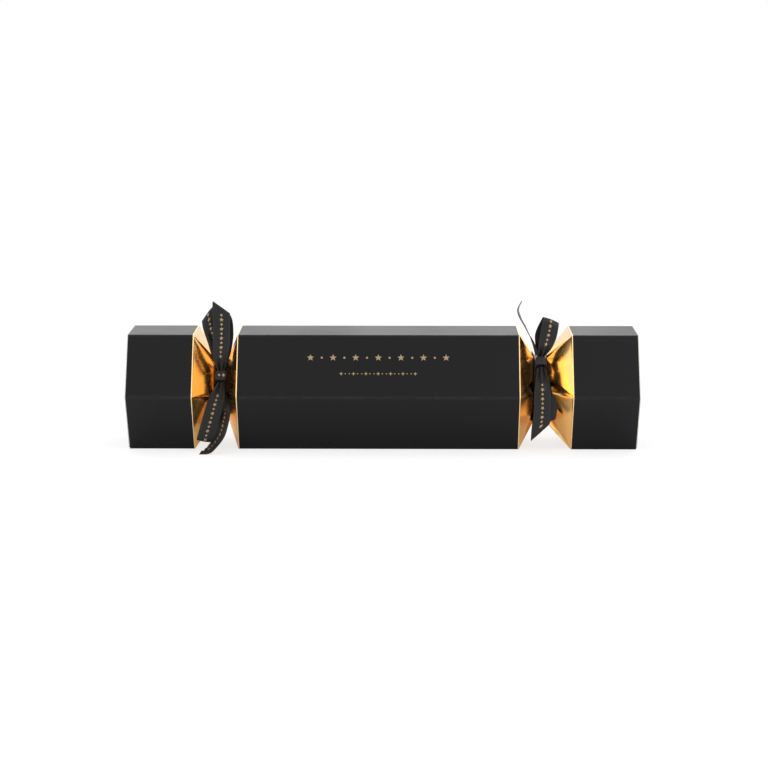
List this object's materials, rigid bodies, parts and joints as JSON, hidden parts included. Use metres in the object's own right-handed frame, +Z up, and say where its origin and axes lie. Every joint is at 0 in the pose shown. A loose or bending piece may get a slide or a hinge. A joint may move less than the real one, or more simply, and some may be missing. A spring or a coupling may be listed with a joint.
{
  "type": "christmas cracker",
  "caption": "Hexagonal card christmas cracker with black barrel and caps, gold pleated necks tied with ribbon bows, pull-off ends, hinged end lids, snap and filling.",
  "frame": {"origin": "on the ground under the middle of the overall length", "axes": "+X along the cracker towards its right end, +Y to the back, +Z up"},
  "size_m": [0.3, 0.0784, 0.0883],
  "materials": {
    "black_card": "soft matt laminate, black outside and pale board inside",
    "gold_foil_card": "mirror gold foil laminate on card",
    "satin_ribbon": "woven satin with a small gold print",
    "snap_card": "plain grey-brown board",
    "sleeve_paper": "plain paper",
    "crown_tissue": "thin tissue",
    "motto_paper": "plain paper",
    "candle_tin": "satin drawn metal",
    "candle_wax": "soft wax",
    "candle_wick": "braided cotton",
    "wick_tab": "thin pressed metal"
  },
  "bodies": {
    "barrel": {"barrel_tube": "black_card", "candle_tin": "candle_tin", "candle_wax": "candle_wax", "candle_wick": "candle_wick", "candle_wick_tab": "wick_tab", "paper_crown": "crown_tissue", "motto_slip": "motto_paper"},
    "left_end": {"left_neck_inner": "gold_foil_card", "left_neck_outer": "gold_foil_card", "left_end_tube": "black_card", "left_snap_strip": "snap_card", "left_ribbon_band": "satin_ribbon", "left_ribbon_knot": "satin_ribbon", "left_ribbon_upper_loop": "satin_ribbon", "left_ribbon_upper_tail": "satin_ribbon", "left_ribbon_lower_loop": "satin_ribbon", "left_ribbon_lower_tail": "satin_ribbon", "snap_sleeve": "sleeve_paper"},
    "right_end": {"right_neck_inner": "gold_foil_card", "right_neck_outer": "gold_foil_card", "right_end_tube": "black_card", "right_snap_strip": "snap_card", "right_ribbon_band": "satin_ribbon", "right_ribbon_knot": "satin_ribbon", "right_ribbon_upper_loop": "satin_ribbon", "right_ribbon_upper_tail": "satin_ribbon", "right_ribbon_lower_loop": "satin_ribbon", "right_ribbon_lower_tail": "satin_ribbon"},
    "left_lid": {"left_end_lid": "black_card"},
    "right_lid": {"right_end_lid": "black_card"},
    "candle_lid": {"candle_lid": "candle_tin"}
  },
  "joints": [
    {"name": "left_pull", "type": "slide", "parent": "barrel", "child": "left_end", "axis": [-1, 0, 0], "range_m": [0, 0.11]},
    {"name": "right_pull", "type": "slide", "parent": "barrel", "child": "right_end", "axis": [1, 0, 0], "range_m": [0, 0.11]},
    {"name": "left_lid_hinge", "type": "hinge", "parent": "left_end", "child": "left_lid", "pos_m": [-0.1494, 0, 0.06807], "axis": [0, 1, 0], "range_deg": [0, 150]},
    {"name": "right_lid_hinge", "type": "hinge", "parent": "right_end", "child": "right_lid", "pos_m": [0.1494, 0, 0.06807], "axis": [0, -1, 0], "range_deg": [0, 150]},
    {"name": "candle_lid_pull", "type": "slide", "parent": "barrel", "child": "candle_lid", "axis": [1, 0, 0], "range_m": [0, 0.018]}
  ]
}
